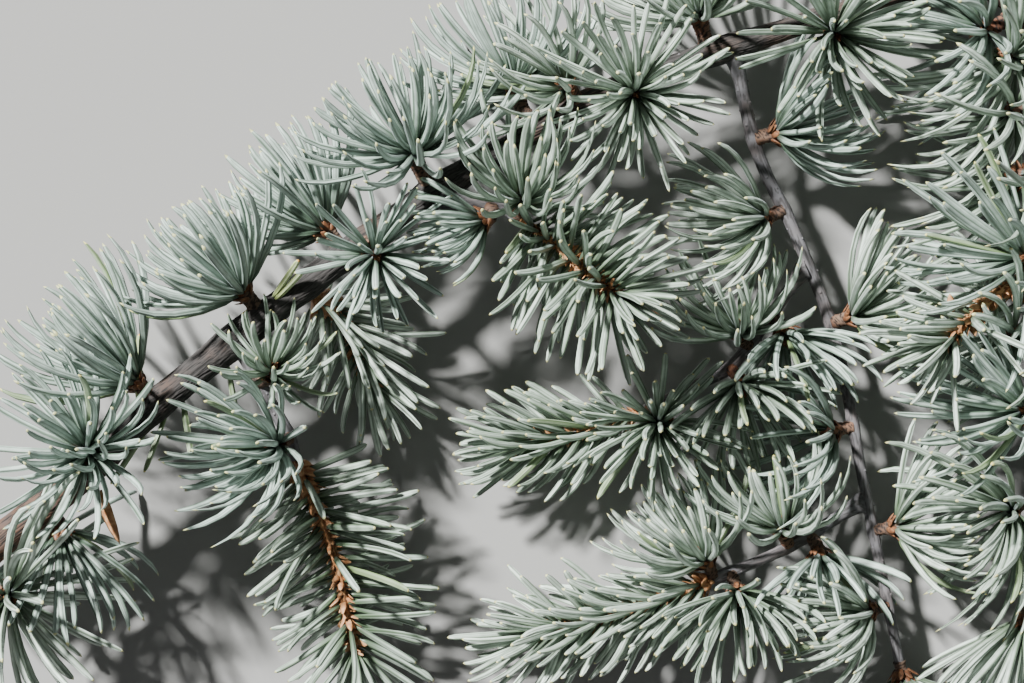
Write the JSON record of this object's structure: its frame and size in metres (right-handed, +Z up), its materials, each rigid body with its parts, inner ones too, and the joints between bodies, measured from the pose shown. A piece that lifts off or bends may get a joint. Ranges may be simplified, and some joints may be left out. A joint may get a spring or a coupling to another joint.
{
  "type": "cut bough of cedar of lebanon",
  "caption": "Arching cut bough of a blue-needled cedar with a drooping leader, with needle tufts on short spurs and long leafy side shoots, lying flat.",
  "frame": {"origin": "under the middle of the lying bough, on the surface that it rests on", "axes": "+Z up from the surface, +X from the cut end towards the drooping leader, +Y towards the top of the arch"},
  "size_m": [0.2148, 0.1608, 0.05],
  "materials": {
    "bark": "matt grey-brown bark with fine lengthwise fissures",
    "needles": "waxy blue-grey bloom over green, with a low sheen"
  },
  "bodies": {
    "root": {"limb_arch": "bark", "limb_drooping": "bark", "limb_lower": "bark", "shoot_behind": "needles", "shoot_front": "needles", "shoot_left": "needles", "shoot_low": "needles", "shoot_right": "needles", "shoot_under": "needles", "tuft_behind_1": "needles", "tuft_behind_2": "needles", "tuft_behind_3": "needles", "tuft_behind_4": "needles", "tuft_front_1": "needles", "tuft_front_2": "needles", "tuft_hanging_1": "needles", "tuft_hanging_2": "needles", "tuft_hanging_3": "needles", "tuft_hanging_4": "needles", "tuft_hanging_5": "needles", "tuft_hanging_6": "needles", "tuft_hanging_end": "needles", "tuft_left_1": "needles", "tuft_left_2": "needles", "tuft_low_1": "needles", "tuft_low_2": "needles", "tuft_low_3": "needles", "tuft_low_4": "needles", "tuft_main_1": "needles", "tuft_main_10": "needles", "tuft_main_11": "needles", "tuft_main_12": "needles", "tuft_main_13": "needles", "tuft_main_14": "needles", "tuft_main_15": "needles", "tuft_main_16": "needles", "tuft_main_17": "needles", "tuft_main_18": "needles", "tuft_main_19": "needles", "tuft_main_2": "needles", "tuft_main_20": "needles", "tuft_main_21": "needles", "tuft_main_22": "needles", "tuft_main_23": "needles", "tuft_main_24": "needles", "tuft_main_25": "needles", "tuft_main_26": "needles", "tuft_main_3": "needles", "tuft_main_4": "needles", "tuft_main_5": "needles", "tuft_main_6": "needles", "tuft_main_7": "needles", "tuft_main_8": "needles", "tuft_main_9": "needles", "tuft_main_end": "needles", "twig_behind": "bark", "twig_front": "bark", "twig_hanging": "bark", "twig_left": "bark", "twig_low": "bark"}
  },
  "joints": []
}
